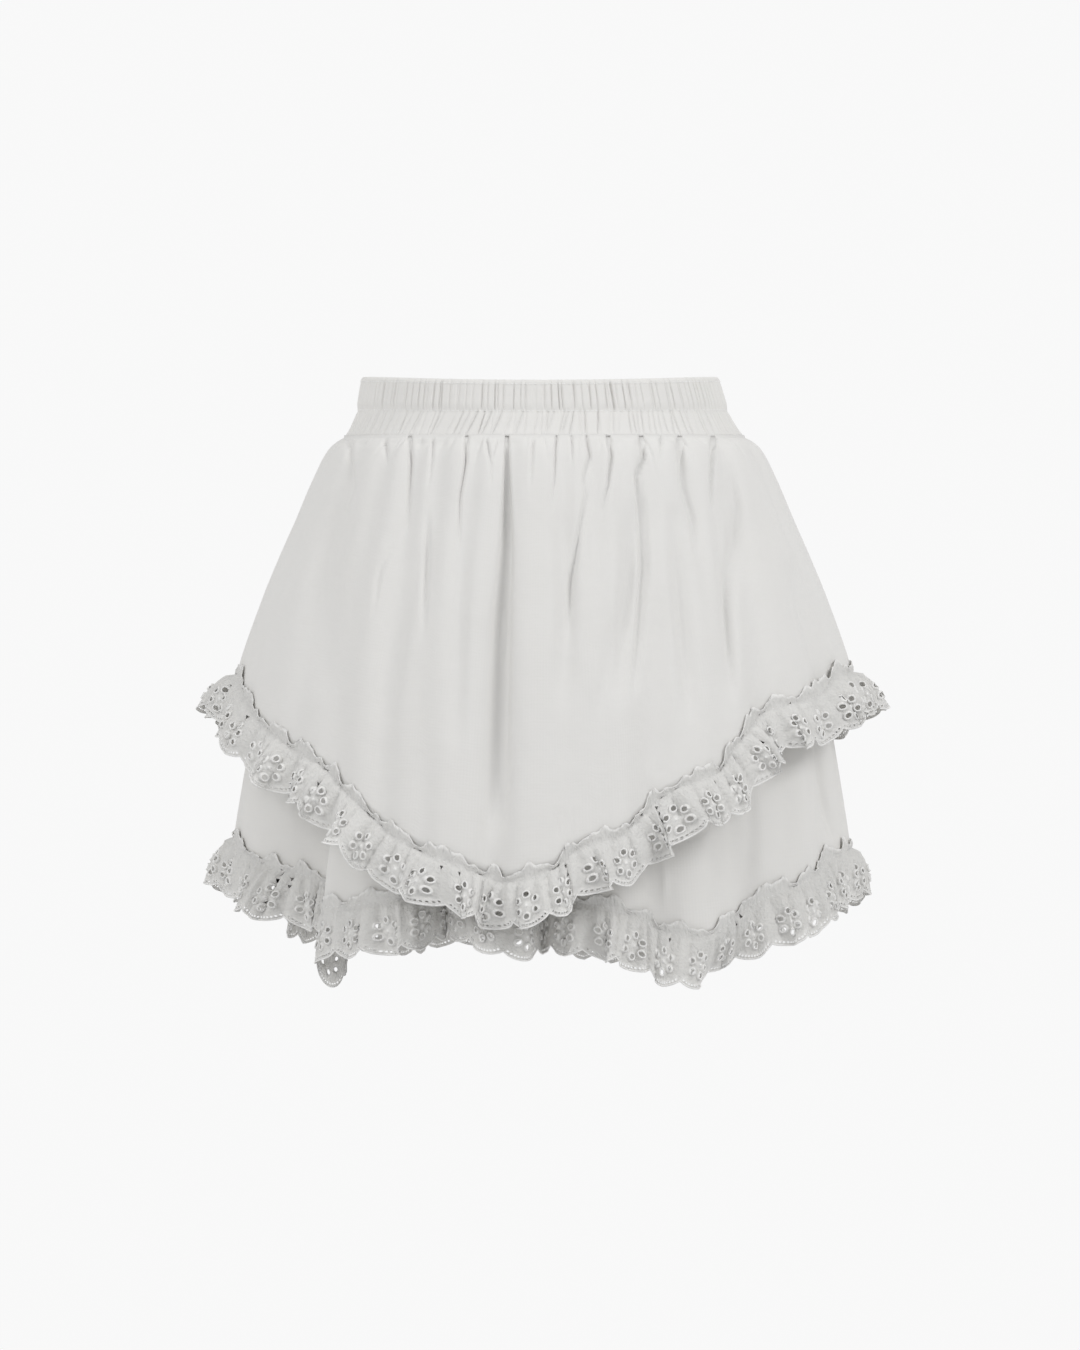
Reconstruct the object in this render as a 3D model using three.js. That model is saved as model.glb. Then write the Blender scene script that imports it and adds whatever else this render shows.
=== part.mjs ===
// Tiered ruffle skirt, hollow and filled out as when it is worn.
// Millimetres. +Z is up, -Y is the front, +X is to the right of someone who looks at the front.
// The origin is the middle of the waist opening, level with the top of the band at the sides.
// Azimuths are in degrees on each section's ellipse: 0 is the front, 90 the +X side, 180 the back.

import * as THREE from 'three';

// Driving sizes
const clothThickness = 1.2;
const trimThickness = 1.0;
const seamGap = 0.3;
const bandHeight = 40.5;
const bandDip = 3.4; // how far the top edge dips at the middle of the front and back
const bandWall = 2.2;
const bandGathers = 54; // in each of the two channels
const gatherColumns = 4; // columns of points for each gather
const scallopsPerPanel = 30; // along one front or back length of trim
const scallopColumns = 3;
const scallopRise = 5.5; // from a scallop's tip to the notch beside it
const trimHeader = 5; // the part of the trim that laps the hem
const upperTrimDrop = 32; // from the hem down to a scallop's tip
const lowerTrimDrop = 35;
const trimLean = 0.6; // 0 hangs plumb, 1 stands square to the hem
const wavesPerPanel = 15;
const trimMiddle = 0.4; // where the trim's middle row lies, as a share of its drop
const headerLift = 2; // how far the waves stand out at the header, the middle row and the edge
const middleLift = 8;
const edgeLift = 17;
const middleEase = 2; // the middle row stands this far off even between waves
const edgeSway = 2.4; // sideways roll of the waves at the edge
const hemSpan = 3; // columns each way over which the hem's direction is taken
const endColumns = 4; // over these the trim turns plumb, to meet its neighbour at the side seam

const clothColour = 0xf1f0ec;
const bandColour = 0xeceded;
const trimColour = 0xf0efea;

// Sections of the two tiers: height, half width and half depth of the cloth's middle line, and how
// far the section's centre lies to the +X side
const upperSections = [
  { z: -40.8, halfWidth: 135.4, halfDepth: 104.6, shift: 3 },
  { z: -44, halfWidth: 141, halfDepth: 109, shift: 3.4 },
  { z: -49, halfWidth: 146.5, halfDepth: 113, shift: 3.4 },
  { z: -69, halfWidth: 157, halfDepth: 120, shift: 3.4 },
  { z: -97, halfWidth: 169, halfDepth: 127, shift: 3.4 },
  { z: -124, halfWidth: 181, halfDepth: 134, shift: 3.4 },
  { z: -151, halfWidth: 192, halfDepth: 140, shift: 3.4 },
  { z: -199, halfWidth: 208.5, halfDepth: 149, shift: 3.4 },
  { z: -260, halfWidth: 222, halfDepth: 158, shift: 3.4 },
  { z: -330, halfWidth: 235, halfDepth: 167, shift: 3.4 },
];
const lowerSections = [
  { z: -40.8, halfWidth: 133.7, halfDepth: 102.9, shift: 3 },
  { z: -44, halfWidth: 138.6, halfDepth: 106.6, shift: 3.4 },
  { z: -49, halfWidth: 143.4, halfDepth: 110, shift: 3.4 },
  { z: -69, halfWidth: 152, halfDepth: 115.6, shift: 3 },
  { z: -97, halfWidth: 161.5, halfDepth: 120.6, shift: 2.6 },
  { z: -124, halfWidth: 170, halfDepth: 125, shift: 2.2 },
  { z: -151, halfWidth: 178, halfDepth: 129, shift: 1.8 },
  { z: -199, halfWidth: 189.5, halfDepth: 134, shift: 1.4 },
  { z: -253, halfWidth: 199.5, halfDepth: 140, shift: 1 },
  { z: -320, halfWidth: 210.5, halfDepth: 147, shift: 0.8 },
  { z: -390, halfWidth: 220, halfDepth: 153, shift: 0.8 },
];

// Height of each hem line round the skirt
const upperHem = [
  { azimuth: -180, z: -326 },
  { azimuth: -150, z: -282 },
  { azimuth: -120, z: -236 },
  { azimuth: -100, z: -210 },
  { azimuth: -82, z: -201 },
  { azimuth: -63, z: -226 },
  { azimuth: -50, z: -245 },
  { azimuth: -42, z: -255 },
  { azimuth: -35, z: -273 },
  { azimuth: -25, z: -301 },
  { azimuth: -15, z: -317 },
  { azimuth: -6, z: -328 },
  { azimuth: 1, z: -320 },
  { azimuth: 6, z: -305 },
  { azimuth: 11, z: -301 },
  { azimuth: 16, z: -286 },
  { azimuth: 23, z: -268 },
  { azimuth: 30, z: -260 },
  { azimuth: 35, z: -241 },
  { azimuth: 44, z: -220 },
  { azimuth: 58, z: -212 },
  { azimuth: 70, z: -199 },
  { azimuth: 90, z: -200 },
  { azimuth: 108, z: -211 },
  { azimuth: 150, z: -284 },
  { azimuth: 180, z: -326 },
];
const lowerHem = [
  { azimuth: -180, z: -370 },
  { azimuth: -163, z: -370 },
  { azimuth: -150, z: -373 },
  { azimuth: -135, z: -365 },
  { azimuth: -113, z: -333 },
  { azimuth: -94, z: -314 },
  { azimuth: -86, z: -312 },
  { azimuth: -64, z: -328 },
  { azimuth: -47, z: -337 },
  { azimuth: -41.5, z: -369 },
  { azimuth: -37, z: -349 },
  { azimuth: -25, z: -342 },
  { azimuth: -16, z: -333 },
  { azimuth: -10, z: -338 },
  { azimuth: -5, z: -346 },
  { azimuth: 3, z: -342 },
  { azimuth: 8, z: -344 },
  { azimuth: 16, z: -352 },
  { azimuth: 23, z: -364 },
  { azimuth: 28, z: -367 },
  { azimuth: 34, z: -361 },
  { azimuth: 39, z: -351 },
  { azimuth: 48, z: -340 },
  { azimuth: 57, z: -334 },
  { azimuth: 64, z: -324 },
  { azimuth: 80, z: -319 },
  { azimuth: 96, z: -321 },
  { azimuth: 108, z: -336 },
  { azimuth: 120, z: -341 },
  { azimuth: 140, z: -370 },
  { azimuth: 152, z: -387 },
  { azimuth: 163, z: -384 },
  { azimuth: 180, z: -370 },
];

// Folds that fall from the waist: azimuth at the waist and 300 mm below it, half width in degrees,
// and depth into the skirt at the waist and below
const waistFolds = [
  { top: -62, below: -46, width: 4.2, topDepth: 3.2, belowDepth: 2 },
  { top: -47, below: -37, width: 3.6, topDepth: 2.6, belowDepth: 1.5 },
  { top: -37, below: -27, width: 3.2, topDepth: 3.6, belowDepth: 3.4 },
  { top: -30, below: -20, width: 3, topDepth: 3, belowDepth: 2 },
  { top: -19, below: -15, width: 2.6, topDepth: 3.2, belowDepth: 0.6 },
  { top: -9.3, below: -8.6, width: 3.6, topDepth: 3.8, belowDepth: 8.5 },
  { top: 5, below: 3.5, width: 2.4, topDepth: 2.6, belowDepth: 0.5 },
  { top: 12.5, below: 9, width: 2.6, topDepth: 3, belowDepth: 1.2 },
  { top: 20, below: 15, width: 2.6, topDepth: 2.6, belowDepth: 1 },
  { top: 28.5, below: 17, width: 3.2, topDepth: 3.8, belowDepth: 4.6 },
  { top: 40, below: 31, width: 2.8, topDepth: 3.2, belowDepth: 0.8 },
  { top: 57, below: 37, width: 3.8, topDepth: 3.6, belowDepth: 5 },
  { top: 74, below: 66, width: 3.8, topDepth: 2, belowDepth: 1 },
  { top: 92, below: 92, width: 4, topDepth: 2.4, belowDepth: 1.5 },
  { top: 109, below: 118, width: 4, topDepth: 3, belowDepth: 4 },
  { top: 124, below: 136, width: 3.6, topDepth: 3.4, belowDepth: 2 },
  { top: 139, below: 146, width: 3.2, topDepth: 3.2, belowDepth: 5 },
  { top: 155, below: 159, width: 3, topDepth: 3, belowDepth: 1.5 },
  { top: 168, below: 172, width: 3.2, topDepth: 3.4, belowDepth: 6.5 },
  { top: -171, below: -173, width: 3, topDepth: 3, belowDepth: 1.5 },
  { top: -156, below: -160, width: 3.2, topDepth: 3.4, belowDepth: 5.5 },
  { top: -140, below: -147, width: 3.4, topDepth: 3.2, belowDepth: 2 },
  { top: -122, below: -131, width: 3.8, topDepth: 3.2, belowDepth: 4.5 },
  { top: -99, below: -104, width: 4.2, topDepth: 2.6, belowDepth: 2 },
];

// Deep hollows between the flutes of the lower tier. Swing draws the two lips together.
const lowerFlutes = [
  { azimuth: -18, width: 3.8, depth: 23, swing: 2.5 },
  { azimuth: 0.5, width: 3.6, depth: 21, swing: 2.5 },
  { azimuth: 20, width: 4, depth: 4, swing: 0.5 },
  { azimuth: 38, width: 5, depth: 6, swing: 0.5 },
  { azimuth: 64, width: 4.5, depth: 4, swing: 0 },
  { azimuth: 118, width: 5, depth: 17, swing: 2 },
  { azimuth: 150, width: 5, depth: 19, swing: 3 },
  { azimuth: 176, width: 5, depth: 15, swing: 2 },
  { azimuth: -155, width: 5, depth: 20, swing: 3 },
  { azimuth: -122, width: 5, depth: 16, swing: 2 },
];

// One flute folds over its neighbour, with the cloth's corner turned under it. Lengths are in mm,
// and fade says how soon the neighbour comes forward again, as a share of the half width.
const foldOver = { azimuth: -41, halfWidth: 22, overlap: 14, setBack: 26, fade: 0.3 };

// Stretches where the lower trim turns in under the skirt, by this share of its drop
const trimTucks = [
  { azimuth: -86, width: 10, amount: 0.15 },
  { azimuth: 33, width: 6, amount: 0.7 },
  { azimuth: 86, width: 10, amount: 0.35 },
];

const foldStart = 12; // mm below the waist seam where the folds are fully formed
const foldLength = 300;
const innerFoldsFade = 60; // under the upper tier the waist folds fade between these drops
const innerFoldsGone = 150;
const swingPeak = 2.33; // makes a flute's greatest sideways shift equal its swing
const fluteTop = 0.42; // share of the lower tier's length where its flutes begin
const fluteFull = 0.94;

// Rows down a panel, as shares of its length
const upperRows = [0, 0.045, 0.3, 0.65, 1];
const lowerRows = [0, 0.25, 0.5, 0.68, 0.84, 1];

function smoothStep(from, to, value) {
  const t = Math.min(1, Math.max(0, (value - from) / (to - from)));
  return t * t * (3 - 2 * t);
}

function turnBetween(from, to) {
  return ((to - from + 540) % 360) - 180;
}

// Smooth curve through a table's rows that never overshoots them
function readTable(rows, key, column, at) {
  const rising = rows[1][key] > rows[0][key];
  const order = rising ? rows : [...rows].reverse();
  const last = order.length - 1;
  const clamped = Math.min(order[last][key], Math.max(order[0][key], at));
  let i = 0;
  while (i < last - 1 && clamped > order[i + 1][key]) i += 1;
  const slope = (j) => (order[j + 1][column] - order[j][column]) / (order[j + 1][key] - order[j][key]);
  const tangent = (j) => {
    if (j === 0) return slope(0);
    if (j === last) return slope(last - 1);
    const before = slope(j - 1);
    const after = slope(j);
    return before * after <= 0 ? 0 : (2 * before * after) / (before + after);
  };
  const span = order[i + 1][key] - order[i][key];
  const t = (clamped - order[i][key]) / span;
  const t2 = t * t;
  const t3 = t2 * t;
  return (2 * t3 - 3 * t2 + 1) * order[i][column] + (t3 - 2 * t2 + t) * span * tangent(i)
    + (3 * t2 - 2 * t3) * order[i + 1][column] + (t3 - t2) * span * tangent(i + 1);
}

// How far the waist folds draw the cloth in at an azimuth and a drop below the waist seam
function waistFoldDepth(azimuth, drop) {
  const share = Math.min(1, drop / foldLength);
  let depth = 0;
  for (const fold of waistFolds) {
    const centre = fold.top + turnBetween(fold.top, fold.below) * Math.sqrt(share);
    const away = turnBetween(centre, azimuth) / fold.width;
    const size = THREE.MathUtils.lerp(fold.topDepth, fold.belowDepth, smoothStep(0, 0.75, share));
    depth += size * Math.exp(-away * away);
  }
  return depth * smoothStep(0, foldStart, drop);
}

// Depth and sideways shift of the lower tier's flutes
function fluteShift(azimuth, share, radius) {
  const strength = smoothStep(fluteTop, fluteFull, share);
  let inward = 0;
  let aside = 0;
  for (const flute of lowerFlutes) {
    const away = turnBetween(flute.azimuth, azimuth) / flute.width;
    const bell = Math.exp(-away * away);
    inward += flute.depth * bell;
    aside -= flute.swing * swingPeak * away * bell;
  }
  const along = THREE.MathUtils.degToRad(turnBetween(foldOver.azimuth, azimuth)) * radius;
  const place = along / foldOver.halfWidth;
  if (Math.abs(place) < 1) aside -= foldOver.overlap * Math.sin(Math.PI * place);
  const behind = place < 0 ? Math.exp(-Math.pow(Math.max(0, -place - 1) * foldOver.fade, 2)) : 1;
  inward += foldOver.setBack * (1 - smoothStep(-1, 1, place)) * behind;
  return { inward: inward * strength, aside: aside * strength };
}

// A point on the middle of a tier's cloth, at an azimuth and a share of the way to the hem
function tierPoint(tier, azimuth, share) {
  const angle = THREE.MathUtils.degToRad(azimuth);
  const top = tier.sections[0].z;
  const z = top + (readTable(tier.hem, 'azimuth', 'z', azimuth) - top) * share;
  const drop = top - z;
  const halfWidth = readTable(tier.sections, 'z', 'halfWidth', z);
  const halfDepth = readTable(tier.sections, 'z', 'halfDepth', z);
  const outward = new THREE.Vector3(Math.sin(angle) / halfWidth, -Math.cos(angle) / halfDepth, 0).normalize();
  const aside = new THREE.Vector3(-outward.y, outward.x, 0);
  const centre = readTable(tier.sections, 'z', 'shift', z);
  const point = new THREE.Vector3(centre + halfWidth * Math.sin(angle), -halfDepth * Math.cos(angle), z);
  const kept = tier.inner ? 1 - smoothStep(innerFoldsFade, innerFoldsGone, drop) : 1;
  const folds = kept * waistFoldDepth(azimuth, drop);
  const shift = tier.inner ? fluteShift(azimuth, share, halfWidth) : { inward: 0, aside: 0 };
  point.addScaledVector(outward, -folds - shift.inward);
  point.addScaledVector(aside, shift.aside);
  return point;
}

// Azimuths that part one panel's hem into equal lengths of cloth, with one more beyond each end
function evenAzimuths(tier, from, to, count) {
  const steps = 1440;
  const walked = [{ azimuth: from, length: 0 }];
  let before = tierPoint(tier, from, 1);
  for (let k = 1; k <= steps; k += 1) {
    const azimuth = from + ((to - from) * k) / steps;
    const point = tierPoint(tier, azimuth, 1);
    walked.push({ azimuth, length: walked[k - 1].length + point.distanceTo(before) });
    before = point;
  }
  const step = walked[steps].length / count;
  const azimuths = [];
  let k = 0;
  for (let i = 0; i <= count; i += 1) {
    while (k < steps - 1 && walked[k + 1].length < i * step) k += 1;
    const share = (i * step - walked[k].length) / (walked[k + 1].length - walked[k].length);
    azimuths.push(THREE.MathUtils.lerp(walked[k].azimuth, walked[k + 1].azimuth, share));
  }
  const first = 2 * azimuths[0] - azimuths[1];
  const after = 2 * azimuths[count] - azimuths[count - 1];
  return [first, ...azimuths, after];
}

function wrapAzimuth(azimuth) {
  return turnBetween(0, azimuth);
}

// The grid of points down a panel and the outward normal at each, ghost columns included
function panelGrid(tier, azimuths) {
  const column = (azimuth) => tier.rows.map((share) => tierPoint(tier, wrapAzimuth(azimuth), share));
  return gridWithNormals(azimuths.map(column), true);
}

// A level top keeps a panel's upper edge flat under the band
function gridWithNormals(columns, levelTop) {
  const normals = columns.map((column, i) => column.map((point, j) => {
    const left = columns[Math.max(0, i - 1)][j];
    const right = columns[Math.min(columns.length - 1, i + 1)][j];
    const above = column[Math.max(0, j - 1)];
    const below = column[Math.min(column.length - 1, j + 1)];
    const along = new THREE.Vector3().subVectors(right, left);
    const down = new THREE.Vector3().subVectors(below, above);
    const normal = along.cross(down).negate();
    if (j === 0 && levelTop) normal.setZ(0);
    return normal.normalize();
  }));
  return { columns, normals };
}

// A closed wall round a grid, without its ghost columns, whose two faces lie off the grid's points
function wallGeometry(grid, thickness) {
  const columns = grid.columns.slice(1, -1);
  const normals = grid.normals.slice(1, -1);
  const across = columns.length;
  const down = columns[0].length;
  const positions = [];
  for (const side of [0.5, -0.5]) {
    columns.forEach((column, i) => column.forEach((point, j) => {
      const moved = point.clone().addScaledVector(normals[i][j], side * thickness);
      positions.push(moved.x, moved.y, moved.z);
    }));
  }
  const outer = (i, j) => i * down + j;
  const inner = (i, j) => across * down + i * down + j;
  const indices = [];
  const quad = (a, b, c, d) => indices.push(a, b, c, a, c, d);
  for (let i = 0; i < across - 1; i += 1) {
    for (let j = 0; j < down - 1; j += 1) {
      quad(outer(i, j), outer(i, j + 1), outer(i + 1, j + 1), outer(i + 1, j));
      quad(inner(i, j), inner(i + 1, j), inner(i + 1, j + 1), inner(i, j + 1));
    }
    quad(outer(i, 0), outer(i + 1, 0), inner(i + 1, 0), inner(i, 0));
    quad(outer(i, down - 1), inner(i, down - 1), inner(i + 1, down - 1), outer(i + 1, down - 1));
  }
  const end = across - 1;
  for (let j = 0; j < down - 1; j += 1) {
    quad(outer(0, j), inner(0, j), inner(0, j + 1), outer(0, j + 1));
    quad(outer(end, j), outer(end, j + 1), inner(end, j + 1), inner(end, j));
  }
  return closedGeometry(positions, indices);
}

function closedGeometry(positions, indices) {
  const geometry = new THREE.BufferGeometry();
  geometry.setAttribute('position', new THREE.Float32BufferAttribute(positions, 3));
  geometry.setIndex(indices);
  geometry.computeVertexNormals();
  return geometry;
}

// How strongly the trim waves at an azimuth: it lies flatter inside the fold-over and between flutes
function waveStrength(tier, azimuth) {
  if (!tier.inner) return 1;
  const away = turnBetween(foldOver.azimuth, azimuth) / 8;
  let strength = 1 - Math.exp(-away * away * away * away);
  for (const flute of lowerFlutes) {
    const beside = turnBetween(flute.azimuth, azimuth) / (1.8 * flute.width);
    strength *= 1 - Math.min(1, flute.depth / 12) * Math.exp(-beside * beside);
  }
  return strength;
}

// How far the trim turns inwards at an azimuth
function tuckAmount(tier, azimuth) {
  let amount = 0;
  for (const tuck of tier.inner ? trimTucks : []) {
    const away = turnBetween(tuck.azimuth, azimuth) / tuck.width;
    amount += tuck.amount * Math.exp(-away * away);
  }
  return amount;
}

// The gathered trim of one panel: its header lies on the hem, and below the hem it waves and flares
function trimGrid(tier, grid, azimuths) {
  const last = tier.rows.length - 1;
  const lap = clothThickness / 2 + seamGap + trimThickness / 2;
  const columns = grid.columns.map((column, i) => {
    const hem = column[last];
    const normal = grid.normals[i][last];
    const fromEnd = Math.min(i - 1, grid.columns.length - 2 - i);
    const strength = waveStrength(tier, wrapAzimuth(azimuths[i]));
    const turn = strength * smoothStep(0, endColumns, fromEnd);
    const plumb = new THREE.Vector3().subVectors(hem, column[last - 1]).normalize();
    const left = grid.columns[Math.max(0, i - hemSpan)][last];
    const right = grid.columns[Math.min(grid.columns.length - 1, i + hemSpan)][last];
    const square = new THREE.Vector3().subVectors(right, left).cross(normal).normalize();
    const fall = plumb.clone().lerp(square, trimLean * turn);
    fall.addScaledVector(normal, -tuckAmount(tier, wrapAzimuth(azimuths[i]))).normalize();
    const sway = new THREE.Vector3().crossVectors(fall, normal).normalize();
    const scallop = (i - 1) / scallopColumns;
    const phase = trimPhase(scallop);
    const size = strength * (0.8 + 0.2 * Math.sin(2.1 * scallop + tier.waveShift));
    const lift = size * (0.5 - 0.5 * Math.cos(phase));
    const notch = (i - 1) % scallopColumns === 0 ? scallopRise : 0;
    const header = hem.clone().addScaledVector(plumb, -trimHeader);
    header.addScaledVector(normal, lap + headerLift * lift);
    const seam = hem.clone().addScaledVector(normal, lap);
    const middle = hem.clone().addScaledVector(fall, tier.trimDrop * trimMiddle);
    middle.addScaledVector(normal, lap + middleEase * strength + middleLift * lift);
    const edge = hem.clone().addScaledVector(fall, tier.trimDrop - notch);
    edge.addScaledVector(normal, lap + edgeLift * lift);
    edge.addScaledVector(sway, -edgeSway * turn * Math.sin(2 * phase));
    return [header, seam, middle, edge];
  });
  const trim = gridWithNormals(columns, false);
  trim.normals.forEach((column, i) => {
    column[0].copy(grid.normals[i][last]);
    column[1].copy(grid.normals[i][last]);
  });
  return trim;
}

// Waves of uneven length along the trim
function trimPhase(scallop) {
  const even = (2 * Math.PI * wavesPerPanel * scallop) / scallopsPerPanel;
  const whole = (Math.PI * scallop) / scallopsPerPanel;
  return even + 0.75 * Math.sin(5 * whole * 2) + 0.45 * Math.sin(11 * whole * 2);
}

// The outside of the waistband: height, half width and half depth, and how deep its gathers are
const bandOuter = [
  { z: 0, halfWidth: 121.6, halfDepth: 94.2, gather: 0.35 },
  { z: -3, halfWidth: 123.2, halfDepth: 95.4, gather: 0.75 },
  { z: -12, halfWidth: 126.4, halfDepth: 97.8, gather: 1 },
  { z: -21, halfWidth: 128.2, halfDepth: 99.2, gather: 0.7 },
  { z: -23.6, halfWidth: 127.6, halfDepth: 98.8, gather: 0.25 },
  { z: -27, halfWidth: 131.2, halfDepth: 101.4, gather: 0.9 },
  { z: -40.5, halfWidth: 136.4, halfDepth: 105.4, gather: 0.9 },
];
const gatherDepth = 1.5;
const gatherSlant = 0.03; // radians that the lower channel's gathers lean

// The waistband: a tube gathered outside and plain inside
function waistbandGeometry() {
  const across = bandGathers * gatherColumns;
  const rows = bandOuter.length;
  const positions = [];
  const ringPoint = (angle, halfWidth, halfDepth, z) => {
    const dip = bandDip * Math.cos(angle) ** 2 * (1 + z / bandHeight);
    const centre = (upperSections[0].shift * -z) / bandHeight;
    positions.push(centre + halfWidth * Math.sin(angle), -halfDepth * Math.cos(angle), z - dip);
  };
  for (let i = 0; i < across; i += 1) {
    const angle = (2 * Math.PI * i) / across;
    for (const row of bandOuter) {
      const lower = row.z < -bandHeight / 2 - 3;
      const slant = lower ? gatherSlant * Math.cos(angle) : 0;
      const uneven = 0.35 * Math.sin(7 * angle + 1) + 0.25 * Math.sin(17 * angle);
      const wave = 0.5 - 0.5 * Math.cos(bandGathers * (angle - slant) + uneven + (lower ? 1.6 : 0));
      const size = 0.7 + 0.3 * Math.sin(11 * angle + (lower ? 2 : 0));
      const depth = gatherDepth * row.gather * wave * size * (0.35 + 0.65 * Math.abs(Math.cos(angle)));
      ringPoint(angle, row.halfWidth - depth, row.halfDepth - depth, row.z);
    }
    for (const row of [bandOuter[0], bandOuter[rows - 1]]) {
      ringPoint(angle, row.halfWidth - bandWall - 1.2, row.halfDepth - bandWall - 1.2, row.z);
    }
  }
  const perColumn = rows + 2;
  const at = (i, j) => (i % across) * perColumn + j;
  const indices = [];
  const quad = (a, b, c, d) => indices.push(a, b, c, a, c, d);
  for (let i = 0; i < across; i += 1) {
    for (let j = 0; j < rows - 1; j += 1) quad(at(i, j), at(i, j + 1), at(i + 1, j + 1), at(i + 1, j));
    const insideTop = rows;
    const insideFoot = rows + 1;
    quad(at(i, rows - 1), at(i, insideFoot), at(i + 1, insideFoot), at(i + 1, rows - 1));
    quad(at(i, insideFoot), at(i, insideTop), at(i + 1, insideTop), at(i + 1, insideFoot));
    quad(at(i, insideTop), at(i, 0), at(i + 1, 0), at(i + 1, insideTop));
  }
  return closedGeometry(positions, indices);
}

function clothMaterial(colour, roughness) {
  return new THREE.MeshStandardMaterial({ color: colour, roughness, metalness: 0 });
}

function addPiece(group, name, geometry, material) {
  const mesh = new THREE.Mesh(geometry, material);
  mesh.name = name;
  group.add(mesh);
}

const upperTier = {
  sections: upperSections, hem: upperHem, rows: upperRows, trimDrop: upperTrimDrop, inner: false, waveShift: 0,
};
const lowerTier = {
  sections: lowerSections, hem: lowerHem, rows: lowerRows, trimDrop: lowerTrimDrop, inner: true, waveShift: 2,
};
const columnsPerPanel = scallopsPerPanel * scallopColumns;
const seamTurn = THREE.MathUtils.radToDeg(seamGap / 2 / upperSections[0].halfDepth);

const skirt = new THREE.Group();
addPiece(skirt, 'waistband', waistbandGeometry(), clothMaterial(bandColour, 0.85));
for (const [tierName, tier] of [['upper', upperTier], ['lower', lowerTier]]) {
  for (const [sideName, middle] of [['front', 0], ['back', 180]]) {
    const azimuths = evenAzimuths(tier, middle - 90 + seamTurn, middle + 90 - seamTurn, columnsPerPanel);
    const grid = panelGrid(tier, azimuths);
    const panel = wallGeometry(grid, clothThickness);
    const trim = wallGeometry(trimGrid(tier, grid, azimuths), trimThickness);
    addPiece(skirt, `${tierName}_tier_${sideName}`, panel, clothMaterial(clothColour, 0.9));
    addPiece(skirt, `${tierName}_trim_${sideName}`, trim, clothMaterial(trimColour, 0.85));
  }
}

export default skirt;
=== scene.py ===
# Tiered ruffle skirt: white cotton, gathered elastic waistband, eyelet edging on two pointed hems
import math
import random

import bpy
import numpy as np
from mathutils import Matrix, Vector
from mathutils.geometry import delaunay_2d_cdt


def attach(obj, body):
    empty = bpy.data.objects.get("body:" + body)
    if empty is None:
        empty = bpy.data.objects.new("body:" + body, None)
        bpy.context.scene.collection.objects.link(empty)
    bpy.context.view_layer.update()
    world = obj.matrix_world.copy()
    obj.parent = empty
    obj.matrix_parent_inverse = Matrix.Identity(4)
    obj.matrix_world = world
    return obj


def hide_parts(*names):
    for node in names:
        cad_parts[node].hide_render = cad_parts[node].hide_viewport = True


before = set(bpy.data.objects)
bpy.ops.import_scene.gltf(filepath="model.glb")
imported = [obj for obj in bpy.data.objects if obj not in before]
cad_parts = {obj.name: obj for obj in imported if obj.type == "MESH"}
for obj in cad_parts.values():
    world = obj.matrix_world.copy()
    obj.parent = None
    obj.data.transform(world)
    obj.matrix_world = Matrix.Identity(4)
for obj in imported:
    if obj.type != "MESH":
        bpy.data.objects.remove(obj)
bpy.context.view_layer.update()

tau = 2 * math.pi

# Everything below is in metres. +Z is up, -Y is the front, the origin is the middle of the waist.
# Azimuths are in degrees round each section: 0 is the front, 90 the +X side, 180 the back.

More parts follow.
